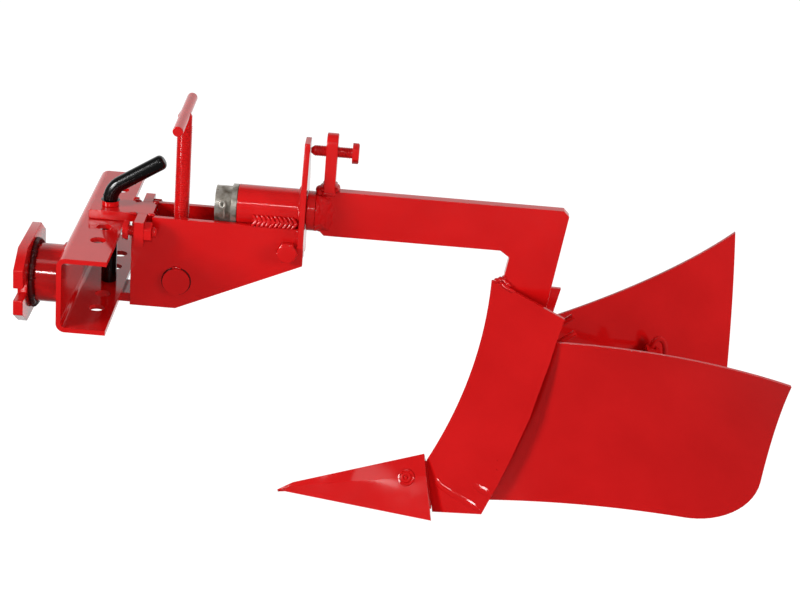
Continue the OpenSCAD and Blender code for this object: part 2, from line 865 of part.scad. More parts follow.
module shoulder_ring() {
  color("firebrick") on_beam_line() difference() {
    bar_x(ring_front, beam_front, 0, hub_height, ring_diameter);
    bar_x(ring_front - cut, beam_front + cut, 0, hub_height, shaft_diameter);
  }
}

// Flat bar beam with its leg, trimmed to the inside of the mouldboards
module beam() {
  half = beam_thickness / 2;
  inner = beam_rear - leg_width;
  color("firebrick") on_beam_line() difference() {
    upright_plate(-half, half) polygon([
      [beam_front, beam_bottom + beam_cut], [beam_front + beam_cut, beam_bottom],
      [inner - gusset - gusset_run, beam_bottom], [inner, beam_bottom - gusset],
      [inner - leg_rake, -leg_depth], [beam_rear - leg_rake, -leg_depth],
      [beam_rear, beam_top - beam_rear_cut], [beam_rear - beam_rear_cut, beam_top],
      [beam_front + beam_cut / 2, beam_top], [beam_front, beam_top - beam_cut / 2]
    ]);
    mould_trim();
    far() mould_trim();
  }
}

module upright() {
  half = upright_across / 2;
  rear = upright_front + upright_width;
  color("firebrick") on_beam_line() difference() {
    union() {
      box([upright_front, -half, beam_top], [rear, half, upright_top - half]);
      bar_x(upright_front, rear, 0, upright_top - half, upright_across);
    }
    bar_x(upright_front - cut, rear + cut, 0, roll_screw_z, screw_bore);
  }
}

// Screw through the upright, its coned end against the roll plate
module roll_screw() {
  tip = cheek_rear + play;
  head = upright_front + upright_width + roll_screw_stand;
  cone = screw_diameter * cone_share;
  color("firebrick") on_beam_line() union() {
    translate([tip, 0, roll_screw_z]) rotate([0, 90, 0])
      cylinder(d1 = screw_diameter - 2 * cone, d2 = screw_diameter, h = cone);
    bar_x(tip + cone, head, 0, roll_screw_z, screw_diameter);
    translate([head, 0, roll_screw_z]) rotate([0, 90, 0]) hex(screw_flats, screw_head);
  }
}

// Ridging body

// Outline of a mouldboard in X and Z
module mould_outline() {
  front = blade_tip + blade_ridge - prow_margin;
  over_share = blade_b[2] + blade_lap;
  polygon([
    [front, over_share], [front, prow_over], [prow_mid[0] + crown_run, crown_height],
    for (s = rear_edge_shares) [mould_rear - s[1] * mould_run, -mould_top - s[0] * mould_height],
    [blade_c[0] + blade_seam, foot_lift - blade_depth], [blade_b[0] + blade_seam, over_share]
  ]);
}

module mouldboard() {
  color("firebrick") on_beam_line() intersection() {
    difference() {
      mould_core(mould_thickness);
      mould_core(0);
    }
    upright_plate(-2 * hole_pitch, 0) mould_outline();
  }
}
module mouldboard_near() {
  mouldboard();
}
module mouldboard_far() {
  on_beam_line() far() translate([0, -offset, 0]) mouldboard();
}

// Level webs between the leg and the mouldboards
module frog_webs() {
  half = beam_thickness / 2;
  color("firebrick") on_beam_line() for (z = web_shares, side = [0, 1]) mirror([0, side, 0]) difference() {
    translate([on_hinge(z * mould_height)[0] - web_forward, -hinge_y - half, z * mould_height])
      cube([web_length, hinge_y, web_thickness]);
    mould_core(mould_thickness);
  }
}

// The share's face frame: local X and Y in the face, Z out of it
blade_x = unit(blade_b - blade_a);
blade_n = unit(cross(blade_c - blade_a, blade_b - blade_a));
blade_y = cross(blade_n, blade_x);
function blade_flat(p) = [(p - blade_a) * blade_x, (p - blade_a) * blade_y];
module on_blade() {
  multmatrix([
    [blade_x[0], blade_y[0], blade_n[0], blade_a[0]],
    [blade_x[1], blade_y[1], blade_n[1], blade_a[1]],
    [blade_x[2], blade_y[2], blade_n[2], blade_a[2]],
    [0, 0, 0, 1]
  ]) children();
}
blade_bolt_up = blade_a + bolt_along_share * (blade_b - blade_a);
blade_bolt_at = blade_flat(blade_bolt_up + bolt_down_share * (blade_c - blade_b));

module share_half() {
  big = blade_ridge + blade_foot;
  intersection() {
    on_blade() translate([0, 0, -blade_thickness]) linear_extrude(blade_thickness)
      polygon([blade_flat(blade_a), blade_flat(blade_b), blade_flat(blade_c)]);
    translate([0, -big, -big - blade_depth]) cube([2 * big, big, 2 * big]);
  }
}

module share() {
  color("firebrick") on_beam_line() difference() {
    union() {
      share_half();
      far() share_half();
    }
    share_bolt_form(0);
    far() share_bolt_form(0);
    box([0, -blade_depth, -2 * blade_depth], [2 * blade_depth, blade_depth, -blade_depth]);
  }
}

// A countersunk bolt through the near face
module share_bolt_form(grow) {
  cone = (blade_bolt_head - blade_bolt_diameter) / 2;
  long = blade_thickness + blade_bolt_tail;
  on_blade() translate([blade_bolt_at[0], blade_bolt_at[1], 0]) {
    translate([0, 0, -cone]) cylinder(d1 = blade_bolt_diameter, d2 = blade_bolt_head, h = cone);
    translate([0, 0, -long]) cylinder(d = blade_bolt_diameter, h = long - cone);
    cylinder(d = blade_bolt_head, h = grow);
  }
}

module share_bolts() {
  color("firebrick") on_beam_line() {
    share_bolt_form(blade_bolt_proud);
    far() share_bolt_form(blade_bolt_proud);
  }
}

// Block behind the share that takes the bolts and joins the leg
module share_seat() {
  half = beam_thickness / 2;
  inset = blade_seat_inset;
  leg_front = beam_rear - leg_rake - leg_width;
  wide = blade_seat_share * blade_half_width;
  front = blade_b[0] - blade_seat_length;
  color("firebrick") on_beam_line() difference() {
    box([front, -wide, inset - blade_depth], [leg_front + inset, wide, blade_b[2] - inset]);
    for (side = [0, 1]) mirror([0, side, 0]) {
      on_blade() translate([-blade_foot, -blade_foot, -blade_thickness])
        cube([4 * blade_foot, 3 * blade_foot, blade_foot]);
      intersection() {
        mould_core(mould_thickness);
        upright_plate(-blade_foot, 0) mould_outline();
      }
      share_bolt_form(0);
    }
    box([leg_front - leg_slot, -half, -leg_depth], [beam_rear, half, 0]);
  }
}

// Wings and their hinges

// One knuckle of the near hinge, tied to the mouldboard by a short tab
module knuckle(z) {
  difference() {
    union() {
      lay(on_hinge(z), hinge_line) cylinder(d = hinge_eye, h = knuckle_height);
      lay(on_hinge(z), hinge_line)
        translate([-hinge_eye / 2, -hinge_y, 0]) cube([hinge_eye / 2 - tab_relief, hinge_y, knuckle_height]);
    }
    lay(on_hinge(z), hinge_line) translate([0, 0, -cut])
      cylinder(d = hinge_diameter, h = knuckle_height + 2 * cut);
    mould_core(mould_thickness);
  }
}
module knuckles() {
  color("firebrick") on_beam_line() {
    knuckle(-wing_front_top - eye_drop + eye_over);
    knuckle(-wing_front_foot - knuckle_height - eye_under);
  }
}
module knuckles_near() {
  knuckles();
}
module knuckles_far() {
  on_beam_line() far() translate([0, -offset, 0]) knuckles();
}

// Hinge pin with its top bent back
module hinge_pin() {
  low = -wing_front_foot - knuckle_height - eye_under - hinge_tail;
  top = knuckle_height - wing_front_top - eye_drop + 2 * eye_over;
  length = (top - low) / cos(hinge_rake);
  r = hinge_diameter;
  bent = bend_share * hinge_diameter;
  color("firebrick") on_beam_line() lay(on_hinge(low), hinge_line) union() {
    cylinder(d = hinge_diameter, h = length);
    translate([r, 0, length]) rotate([90, 0, 0]) rotate([0, 0, 180 - hinge_bend])
      rotate_extrude(angle = hinge_bend + bend_lap) translate([r, 0]) circle(d = bent);
    translate([r, 0, length]) rotate([0, hinge_bend, 0]) translate([-r, 0, 0])
      linear_extrude(hinge_top) circle(d = bent);
  }
}
module hinge_pin_near() {
  hinge_pin();
}
module hinge_pin_far() {
  on_beam_line() far() translate([0, -offset, 0]) hinge_pin();
}

// Outline of a wing in X and Z, its front edge on the hinge axis
module wing_outline() {
  r = wing_corner;
  foot_slope = (wing_front_foot - wing_rear_foot) / (wing_rear - on_hinge(-wing_front_foot)[0]);
  tilt = atan(foot_slope);
  corner_z = -wing_rear_foot + r / cos(tilt) - r * foot_slope;
  polygon([
    [on_hinge(-wing_front_top)[0], -wing_front_top], [wing_rear - tip_run, wing_tip_height],
    for (a = [0:corner_step:90 - tilt]) [wing_rear - r + r * cos(a), corner_z - r * sin(a)],
    [wing_rear - r + r * sin(tilt), corner_z - r * cos(tilt)],
    [on_hinge(-wing_front_foot)[0], -wing_front_foot]
  ]);
}

// Rolled wing plate with a hinge eye along its front edge
module wing() {
  length = (wing_front_foot - wing_front_top - eye_drop) / cos(hinge_rake);
  low = on_hinge(-wing_front_foot);
  color("firebrick") on_beam_line() difference() {
    union() {
      intersection() {
        difference() {
          wing_core(wing_thickness);
          wing_core(0);
        }
        upright_plate(-wing_radius, 0) wing_outline();
      }
      lay(low, hinge_line) cylinder(d = hinge_eye, h = length);
    }
    lay(low, hinge_line) translate([0, 0, -length])
      cylinder(d = hinge_diameter + 2 * hinge_room, h = 3 * length);
    lay(low, hinge_line) translate([0, 0, length])
      cylinder(d = hinge_eye + 2 * knuckle_relief, h = 2 * eye_drop);
  }
}
module wing_near() {
  wing();
}
module wing_far() {
  on_beam_line() far() translate([0, -offset, 0]) wing();
}

// Wing stay: two bars that slide on each other, each on a lug on its wing

stay_place = [stay_back, 0, -stay_depth];
near_bar = lug_height + stay_gap;
far_bar = near_bar + stay_thickness + stay_gap;
clamp_y = -stay_pivot + stay_length - stay_end;
module on_stay() {
  lay(stay_place, hinge_line) children();
}

module stay_lug(height) {
  w = stay_width * lug_share;
  color("firebrick") on_beam_line() difference() {
    on_stay() {
      translate([-w / 2, -stay_pivot - lug_reach, 0]) cube([w, lug_reach, height]);
      translate([0, -stay_pivot, 0]) cylinder(d = w, h = height);
    }
    on_stay() translate([0, -stay_pivot, -cut]) cylinder(d = stay_bolt, h = height + 2 * cut);
    wing_core(wing_thickness);
  }
}
module stay_lug_near() {
  stay_lug(lug_height);
}
module stay_lug_far() {
  on_beam_line() far() translate([0, -offset, 0]) stay_lug(far_bar - stay_gap);
}

// Pivot pin fixed in a lug, with a head over the bar
module stay_pivot_pin(base) {
  top = base + stay_thickness + pin_head_gap;
  color("firebrick") on_beam_line() on_stay() translate([0, -stay_pivot, 0]) union() {
    cylinder(d = stay_bolt, h = top);
    translate([0, 0, top]) cylinder(d = eye_share * stay_bolt, h = pin_head);
  }
}
module stay_pin_near() {
  stay_pivot_pin(near_bar);
}
module stay_pin_far() {
  on_beam_line() far() translate([0, -offset, 0]) stay_pivot_pin(far_bar);
}

module stay_bar(base) {
  translate([0, 0, base]) {
    translate([-stay_width / 2, -stay_pivot, 0]) cube([stay_width, stay_length, stay_thickness]);
    translate([0, -stay_pivot, 0]) cylinder(d = stay_width, h = stay_thickness);
  }
}

module stay_near() {
  color("firebrick") on_beam_line() on_stay() difference() {
    stay_bar(near_bar);
    translate([0, -stay_pivot, 0]) cylinder(d = stay_bolt + 2 * hinge_room, h = 2 * far_bar);
    translate([0, clamp_y, 0]) cylinder(d = stay_bolt, h = 2 * far_bar);
  }
}

module stay_far() {
  slot_end = stay_length - stay_end;
  wide = stay_bolt + slot_room;
  color("firebrick") on_beam_line() on_stay() mirror([0, 1, 0]) difference() {
    stay_bar(far_bar);
    translate([0, -stay_pivot, 0]) cylinder(d = stay_bolt + 2 * hinge_room, h = 2 * far_bar);
    translate([-wide / 2, -stay_pivot + slot_start, 0]) cube([wide, slot_end - slot_start, 2 * far_bar]);
    for (s = [slot_start, slot_end]) translate([0, -stay_pivot + s, 0]) cylinder(d = wide, h = 2 * far_bar);
  }
}

// Clamp bolt standing in the near bar, and its nut over the far bar
module clamp_bolt() {
  top = far_bar + stay_thickness + clamp_top;
  color("firebrick") on_beam_line() on_stay() translate([0, clamp_y, 0]) union() {
    translate([0, 0, near_bar - clamp_head]) hex(flats_share * stay_bolt, clamp_head);
    translate([0, 0, near_bar]) cylinder(d = stay_bolt, h = top - near_bar);
  }
}
module clamp_nut() {
  low = far_bar + stay_thickness + play;
  color("firebrick") on_beam_line() on_stay() translate([0, clamp_y, low]) difference() {
    hex(flats_share * stay_bolt, clamp_nut_height);
    translate([0, 0, -cut]) cylinder(d = stay_bolt, h = clamp_nut_height + 2 * cut);
  }
}

hitch_plate();
spigot_tube();
cross_channel();
lock_pin();
pin_grip();
upper_tongue();
lower_tongue();
inner_arms();
ear_near();
ear_far();
swing_lock_nuts();
swing_screw_near();
swing_screw_far();
cheek_near();
cheek_far();
hub_tube();
roll_plate();
pivot_bolt();
pivot_nut();
cross_nut();
thrust_pad();
depth_screw();
t_bar();
shaft();
shaft_washer();
shaft_collar();
split_pin();
shoulder_ring();
beam();
upright();
roll_screw();
mouldboard_near();
mouldboard_far();
frog_webs();
share();
share_seat();
share_bolts();
knuckles_near();
knuckles_far();
hinge_pin_near();
hinge_pin_far();
wing_near();
wing_far();
stay_lug_near();
stay_lug_far();
stay_pin_near();
stay_pin_far();
stay_near();
stay_far();
clamp_bolt();
clamp_nut();
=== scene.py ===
# %% [markdown]
# # Walk-behind ridger
# A ridger is a plough that throws soil to both sides at once. This one is welded from flat bar,
# channel and rolled plate, then sprayed with red powder coat. The solids come from the CAD pack,
# and this lesson gives them rounded edges, welds, threads and finishes.

import json
import math
import random

import bpy
from mathutils import Matrix, Vector, noise

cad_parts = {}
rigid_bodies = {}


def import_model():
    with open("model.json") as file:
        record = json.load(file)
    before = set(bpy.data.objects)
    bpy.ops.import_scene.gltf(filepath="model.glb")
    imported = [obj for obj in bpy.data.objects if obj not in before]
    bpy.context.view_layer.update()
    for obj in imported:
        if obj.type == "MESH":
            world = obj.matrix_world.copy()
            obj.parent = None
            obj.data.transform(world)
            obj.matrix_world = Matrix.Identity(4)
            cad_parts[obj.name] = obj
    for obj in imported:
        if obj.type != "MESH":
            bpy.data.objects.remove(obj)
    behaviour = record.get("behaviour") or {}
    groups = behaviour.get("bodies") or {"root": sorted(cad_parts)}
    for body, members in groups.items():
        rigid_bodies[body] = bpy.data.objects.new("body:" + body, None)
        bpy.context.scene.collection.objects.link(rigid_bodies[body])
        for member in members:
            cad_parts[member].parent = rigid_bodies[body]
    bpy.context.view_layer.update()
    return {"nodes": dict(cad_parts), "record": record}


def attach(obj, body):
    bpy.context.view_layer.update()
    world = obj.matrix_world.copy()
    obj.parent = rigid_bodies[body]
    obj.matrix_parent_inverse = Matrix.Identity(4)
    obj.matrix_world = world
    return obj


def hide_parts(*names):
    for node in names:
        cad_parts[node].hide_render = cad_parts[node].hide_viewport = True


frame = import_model()
nodes = frame["nodes"]
MM = 0.001  # places and sizes of pieces are written in millimetres
print("CAD nodes:", len(nodes))

# %% [markdown]
# ## Finishes
# Every finish starts from what the real surface is. Colours are written as sRGB hex values, as a
# colour picker shows them, and one function turns them into the linear values that the shader
# wants. One small function adds a shader node, sets it and links it.

# %% Helpers for finishes


def linear(code):
    """sRGB hex to linear RGBA."""
    parts = [int(code[i : i + 2], 16) / 255 for i in (1, 3, 5)]
    return [p / 12.92 if p <= 0.04045 else ((p + 0.055) / 1.055) ** 2.4 for p in parts] + [1.0]


def add(tree, kind, settings=None, links=None):
    """One shader node with its settings, and links from other nodes' outputs to its inputs."""
    node = tree.nodes.new(kind)
    for name, value in (settings or {}).items():
        if isinstance(name, int) or name in node.inputs:
            node.inputs[name].default_value = value
        else:
            setattr(node, name, value)
    for name, output in (links or {}).items():
        tree.links.new(output, node.inputs[name])
    return node


def new_finish(name):
    """An empty material with its tree, its shader and the piece's own coordinates."""
    material = bpy.data.materials.new(name)
    material.use_nodes = True
    tree = material.node_tree
    shader = tree.nodes["Principled BSDF"]
    place = add(tree, "ShaderNodeTexCoord").outputs["Object"]
    return material, tree, shader, place


def per_mm(size):
    """Texture scale whose pattern repeats about every size millimetres."""
    return 1 / (size * MM)


def two_tones(tree, factor, low, high, at_low, at_high):
    """A ramp from one colour to another between two levels of a pattern."""
    ramp = add(tree, "ShaderNodeValToRGB", links={"Fac": factor})
    ends = ramp.color_ramp.elements
    ends[0].position, ends[0].color = low, linear(at_low)
    ends[1].position, ends[1].color = high, linear(at_high)
    return ramp.outputs["Color"]


# %% [markdown]
# ### Powder coat on steel
# Powder is sprayed on dry and baked, so it flows out glossy with a faint orange peel about 2 mm
# across. The red is a little uneven, and the gloss breaks up slightly where dust settled. One flat
# red would look like plastic, so three noises are laid over each other: a slow one for the tone, a
# finer one for the gloss and the finest as bump. Welds have the same coat, lumpier and duller. A
# near-black red is painted shade: it darkens the weld round the spigot and the gap round the cross nut.

# %% Red powder coat


def powder_coat(name, dark, light, peel_mm, peel_depth, rough):
    material, tree, shader, place = new_finish(name)
    tone = add(tree, "ShaderNodeTexNoise", {"Scale": per_mm(70), "Detail": 4.0}, {"Vector": place})
    colour = two_tones(tree, tone.outputs["Fac"], 0.3, 0.7, dark, light)
    dust = add(tree, "ShaderNodeTexNoise", {"Scale": per_mm(14), "Detail": 5.0}, {"Vector": place})
    gloss = add(
        tree,
        "ShaderNodeMapRange",
        {"From Min": 0.35, "From Max": 0.7, "To Min": rough, "To Max": rough + 0.05},
        {"Value": dust.outputs["Fac"]},
    )
    peel = add(tree, "ShaderNodeTexNoise", {"Scale": per_mm(peel_mm), "Detail": 2.0}, {"Vector": place})
    bump = add(
        tree,
        "ShaderNodeBump",
        {"Strength": 0.35, "Distance": peel_depth * MM},
        {"Height": peel.outputs["Fac"]},
    )
    tree.links.new(colour, shader.inputs["Base Color"])
    tree.links.new(gloss.outputs["Result"], shader.inputs["Roughness"])
    tree.links.new(bump.outputs["Normal"], shader.inputs["Normal"])
    return material


red_coat = powder_coat("red powder coat, sprayed and baked", "#C40D0E", "#CF1213", 2.4, 0.015, 0.08)
weld_coat = powder_coat("red powder coat over weld bead", "#B80C0E", "#CB1113", 3.0, 0.1, 0.1)
# Painted shade: a near-black red for the shaded weld round the spigot and the gaps round the cross nuts.
painted_shade_coat = powder_coat("near-black red coat, painted shade in weld corners and gaps", "#220506", "#560A0C", 3.0, 0.1, 0.14)
print("coats:", red_coat.name, weld_coat.name, painted_shade_coat.name, sep="; ")

# %% [markdown]
# ### Bare turned steel and dipped plastic
# The collar, washer and split pin are bare. Turning leaves fine rings, here drawn 1.6 mm apart so
# that they show, and handling leaves brownish stains. A wave texture makes the rings, because its
# bands are straight and even, and a noise the stains. The grip is a soft plastic dip, shiny and a
# little uneven where the dip ran.

# %% Bare steel and grip plastic
RING_MM = 1.58
WAVE_LENGTH = math.tau / 20  # one band of the wave texture, at scale 1


def turned_steel(name, dark, light):
    material, tree, shader, place = new_finish(name)
    rings = add(
        tree,
        "ShaderNodeTexWave",
        {"Scale": per_mm(RING_MM) * WAVE_LENGTH, "Distortion": 1.5, "bands_direction": "X"},
        {"Vector": place},
    )
    stain = add(tree, "ShaderNodeTexNoise", {"Scale": per_mm(9), "Detail": 5.0}, {"Vector": place})
    colour = two_tones(tree, stain.outputs["Fac"], 0.38, 0.68, light, dark)
    rough = add(
        tree,
        "ShaderNodeMapRange",
        {"From Min": 0.3, "From Max": 0.7, "To Min": 0.26, "To Max": 0.5},
        {"Value": stain.outputs["Fac"]},
    )
    bump = add(
        tree,
        "ShaderNodeBump",
        {"Strength": 0.3, "Distance": 0.03 * MM},
        {"Height": rings.outputs["Fac"]},
    )
    shader.inputs["Metallic"].default_value = 0.6
    tree.links.new(colour, shader.inputs["Base Color"])
    tree.links.new(rough.outputs["Result"], shader.inputs["Roughness"])
    tree.links.new(bump.outputs["Normal"], shader.inputs["Normal"])
    return material


def dipped_plastic(name, dark, light):
    material, tree, shader, place = new_finish(name)
    flow = add(tree, "ShaderNodeTexNoise", {"Scale": per_mm(6), "Detail": 3.0}, {"Vector": place})
    colour = two_tones(tree, flow.outputs["Fac"], 0.3, 0.7, dark, light)
    bump = add(
        tree,
        "ShaderNodeBump",
        {"Strength": 0.25, "Distance": 0.1 * MM},
        {"Height": flow.outputs["Fac"]},
    )
    shader.inputs["Roughness"].default_value = 0.2
    shader.inputs["IOR"].default_value = 1.46
    tree.links.new(colour, shader.inputs["Base Color"])
    tree.links.new(bump.outputs["Normal"], shader.inputs["Normal"])
    return material


bare_steel = turned_steel("bare steel, turned", "#6E6558", "#B9B4AA")
grip_plastic = dipped_plastic("black plastic, dipped", "#020202", "#060606")
print("bare finishes:", bare_steel.name, grip_plastic.name, sep="; ")

# %% [markdown]
# ## Rounded edges
# Real plate has edges that a shear and a coat of powder have rounded, and those edges catch the
# light. A bevel drawn by the shader is quick, but it never reaches the mesh, so the edges are
# really cut. A CAD node's mesh may not be changed: each node is copied, the copy's loose triangles
# are merged, flat faces are joined and the sharp edges get a small bevel. The copy then stands in.

# %% Helpers for pieces


def only(obj):
    """Selects one object and makes it active."""
    bpy.ops.object.select_all(action="DESELECT")
    obj.select_set(True)
    bpy.context.view_layer.objects.active = obj


def modify(obj, kind, **settings):
    """Adds a modifier and applies it."""
    only(obj)
    modifier = obj.modifiers.new(kind.lower(), kind)
    for name, value in settings.items():
        setattr(modifier, name, value)
    bpy.ops.object.modifier_apply(modifier=modifier.name)


def smooth(obj, degrees):
    only(obj)
    bpy.ops.object.shade_smooth_by_angle(angle=math.radians(degrees))


def keep(obj, name, finish, body, stands_for=()):
    """Names a finished piece, gives it its finish and tells the frame which body carries it."""
    only(obj)
    bpy.ops.object.transform_apply(location=True, rotation=True, scale=True)
    obj.name = name
    obj.data.name = name
    obj.data.materials.clear()
    obj.data.materials.append(finish)
    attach(obj, body)
    for node in stands_for:
        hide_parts(node)
    return obj


body_of_node = {}
for body_name, members in frame["record"]["behaviour"]["bodies"].items():
    for member in members:
        body_of_node[member] = body_name


# %% Copies with rounded edges


def copy_of(node):
    """A merged copy of a CAD node, free of its parent."""
    only(nodes[node])
    bpy.ops.object.duplicate()
    obj = bpy.context.active_object
    bpy.ops.object.parent_clear(type="CLEAR_KEEP_TRANSFORM")
    bpy.ops.object.mode_set(mode="EDIT")
    bpy.ops.mesh.select_all(action="SELECT")
    bpy.ops.mesh.remove_doubles(threshold=0.00001)
    bpy.ops.mesh.dissolve_limited(angle_limit=math.radians(0.4))
    bpy.ops.object.mode_set(mode="OBJECT")
    return obj


def soften(node, width, finish=red_coat, corner=38, steps=2, clamp=True):
    """A copy with rounded edges. Its large faces keep their own normals, so they stay flat."""
    obj = copy_of(node)
    modify(
        obj,
        "BEVEL",
        width=width * MM,
        segments=steps,
        limit_method="ANGLE",
        angle_limit=math.radians(corner),
        use_clamp_overlap=clamp,
    )
    smooth(obj, 40)
    modify(obj, "WEIGHTED_NORMAL", keep_sharp=True)
    return keep(obj, "rounded_" + node, finish, body_of_node[node], [node])


# %% Rounded plates, bars and tubes
edge_mm = {
    "hitch_plate": 0.8,
    "spigot_tube": 0.4,
    "cross_channel": 0.7,
    "lock_pin": 0.6,
    "upper_tongue": 0.9,
    "lower_tongue": 0.9,
    "inner_arms": 0.6,
    "ear_near": 0.9,
    "ear_far": 0.9,
    "swing_lock_nuts": 0.6,
    "cheek_near": 0.8,
    "cheek_far": 0.8,
    "hub_tube": 0.5,
    "roll_plate": 0.9,
    "pivot_nut": 0.8,
    "cross_nut": 1.5,
    "t_bar": 0.8,
    "shoulder_ring": 0.8,
    "beam": 0.9,
    "upright": 1.0,
    "mouldboard_near": 0.7,
    "mouldboard_far": 0.7,
    "frog_webs": 0.5,
    "share_seat": 0.5,
    "knuckles_near": 0.5,
    "knuckles_far": 0.5,
    "hinge_pin_near": 0.7,
    "hinge_pin_far": 0.7,
    "wing_near": 0.7,
    "wing_far": 0.7,
    "stay_lug_near": 0.6,
    "stay_lug_far": 0.6,
    "stay_pin_near": 0.7,
    "stay_near": 0.6,
    "stay_far": 0.6,
    "clamp_bolt": 0.5,
    "clamp_nut": 0.5,
}
for node_name, edge in edge_mm.items():
    soften(node_name, edge)
for node_name in ("shaft", "shaft_washer", "shaft_collar", "thrust_pad"):
    soften(node_name, 0.5, bare_steel)
soften("pin_grip", 5, grip_plastic, 60, 4, False)
print("rounded pieces:", len(edge_mm) + 5)

# %% Finishes on the CAD nodes
for node_name, node in nodes.items():
    node.data.materials.clear()
    node.data.materials.append(bare_steel if node_name == "split_pin" else red_coat)
print("finished nodes:", len(nodes))

# %% [markdown]
# ## Welds
# The machine is arc welded, and the powder coat runs over the beads. Bump in a material would leave
# the joints sharp in the outline, so the beads are modelled. A bead is a row of small overlapping
# ripples, so it is drawn as a path whose thickness rises and falls every few millimetres. A wide
# seam is laid as pointed ripples. Everything is then made a little lumpy with a fixed noise, so each
# run gives the same welds.

# %% Helpers for paths
BEAM_Y = 76  # the beam's middle plane
chance = random.Random(7)


def on_line(x, y, z):
    """A place measured from the beam's middle plane."""
    return Vector((x, y + BEAM_Y, z))


def ring(x, y, z, radius, count=60, start=0, turn=360):
    """Points round an axis along X."""
    angles = [math.radians(start + turn * i / count) for i in range(count if turn == 360 else count + 1)]
    return [Vector((x, y + radius * math.cos(a), z + radius * math.sin(a))) for a in angles]


def evenly(path, step, closed=False):
    """Points a step apart along a path."""
    corners = path + [path[0]] if closed else path
    points = []
    for a, b in zip(corners, corners[1:]):
        count = max(1, round((b - a).length / step))
        points += [a.lerp(b, i / count) for i in range(count)]
    return points if closed else points + [corners[-1]]


# %% Helpers for beads


def tube(path, radius, closed=False, thickness=None, roundness=3):
    """A round rod along a path, as a mesh. thickness gives each point's share of the radius."""
    curve = bpy.data.curves.new("path", "CURVE")
    curve.dimensions = "3D"
    curve.bevel_depth = radius * MM
    curve.bevel_resolution = roundness
    curve.use_fill_caps = True
    spline = curve.splines.new("POLY")
    spline.points.add(len(path) - 1)
    for i, (point, place) in enumerate(zip(spline.points, path)):
        point.co = (*(place * MM), 1)
        point.radius = thickness[i] if thickness else 1
    spline.use_cyclic_u = closed
    obj = bpy.data.objects.new("path", curve)
    bpy.context.collection.objects.link(obj)
    only(obj)
    bpy.ops.object.convert(target="MESH")
    return bpy.context.active_object


def lumpy(obj, size, depth):
    """Pushes the surface in and out by a smooth noise, both in millimetres."""
    for vertex in obj.data.vertices:
        vertex.co += vertex.normal * depth * MM * noise.noise(vertex.co / (size * MM))


def bead(name, path, radius, body, ripple=2.6, closed=False, finish=weld_coat):
    """A painted weld bead along a path."""
    points = evenly(path, ripple / 2, closed)
    shares = []
    for i, point in enumerate(points):
        point += Vector([chance.uniform(-0.08, 0.08) * radius for _ in range(3)])
        end = 1 if closed else min(1, 0.55 + 0.25 * min(i, len(points) - 1 - i))
        shares.append(end * (1.0 if i % 2 else 0.76) * chance.uniform(0.92, 1.1))
    obj = tube(points, radius, closed, shares)
    lumpy(obj, 3.2 * radius, 0.25 * radius)
    smooth(obj, 80)
    return keep(obj, "weld_" + name, finish, body)


def herringbone(name, start, end, across, body, step=4.7, radius=2.2):
    """A wide seam: a row of pointed ripples side by side, over a plain fill."""
    count = round((end - start).length / step)
    along = (end - start) / count
    bead(name + "_fill", [start + across * 0.5, end + across * 0.5], across.length * 0.15, body, 6)
    for i in range(count):
        foot = start + along * i
        path = [foot, foot + across * 0.5 + along * 1.1, foot + across]
        bead(f"{name}_{i}", path, radius, body, 3.4)


# %% Welds of the hitch and swing block
PLATE_BACK, CHANNEL_FRONT, SPIGOT_RADIUS = 10, 42.5, 30
TONGUE_SIDE, TONGUE_TOP = 18.5, 50.5
around = ring(PLATE_BACK + 2.2, 0, 0, SPIGOT_RADIUS + 1.8)
# The spigot's weld is a real bead, but its near-black colour is painted shade for the dark corner.
bead("spigot_plate", around, 4.2, "hitch", 4.4, closed=True, finish=painted_shade_coat)
around = ring(CHANNEL_FRONT - 1.1, 0, 0, SPIGOT_RADIUS + 0.8)
bead("spigot_channel", around, 1.8, "hitch", 3.6, closed=True)
for side, word in ((-1, "near"), (1, "far")):
    for x0, x1 in ((97.5, 104.8), (117.2, 124)):
        path = [on_line(x, side * (TONGUE_SIDE + 0.3), TONGUE_TOP - 0.3) for x in (x0, x1)]
        bead(f"ear_{word}_{x0:.0f}", path, 2.6, "swing_block", 3.4)
print("hitch and swing block welded")

# %% Welds of the cheeks, hub and roll plate
CHEEK_SIDE, CHEEK_TOP, ROLL_PLATE_FRONT = 25, 50, 275
HUB_Z, HUB_RADIUS = 63, 22
SCREW_X, NUT_Z, NUT_RADIUS = 149.5, -19.5, 14.5  # the depth screw and its cross nut


def round_nut(radius, y, degrees):
    """Points round the cross nut's axis."""
    angles = [math.radians(d) for d in degrees]
    return [on_line(SCREW_X + radius * math.cos(a), y, NUT_Z + radius * math.sin(a)) for a in angles]


for side, word in ((-1, "near"), (1, "far")):
    across = Vector((0, side * -2.2, 12.4))
    foot = [on_line(x, side * (CHEEK_SIDE - 0.1), CHEEK_TOP - 0.6) for x in (226, 272)]
    herringbone("hub_" + word, *foot, across, "pitch_frame")
    path = [on_line(ROLL_PLATE_FRONT - 0.4, side * (CHEEK_SIDE + 0.6), z) for z in (34, 49)]
    bead("roll_" + word, path, 2.2, "pitch_frame")
    path = round_nut(NUT_RADIUS + 0.9, side * (CHEEK_SIDE + 0.6), range(72, 112, 4))
    bead("cross_nut_" + word, path, 1.7, "pitch_frame")
    # A near-black ring round each cross nut is painted shade in the gap between nut and cheek.
    path = round_nut(NUT_RADIUS + 0.4, side * (CHEEK_SIDE + 0.1), range(0, 360, 6))
    bead("painted_shade_cross_nut_" + word, path, 0.9, "pitch_frame", 1.6, closed=True, finish=painted_shade_coat)
arch = ring(ROLL_PLATE_FRONT - 0.6, BEAM_Y, HUB_Z, HUB_RADIUS + 0.6, start=-5, turn=190)
bead("hub_roll", arch, 2.2, "pitch_frame", 3.4)
print("cheeks, hub and roll plate welded")

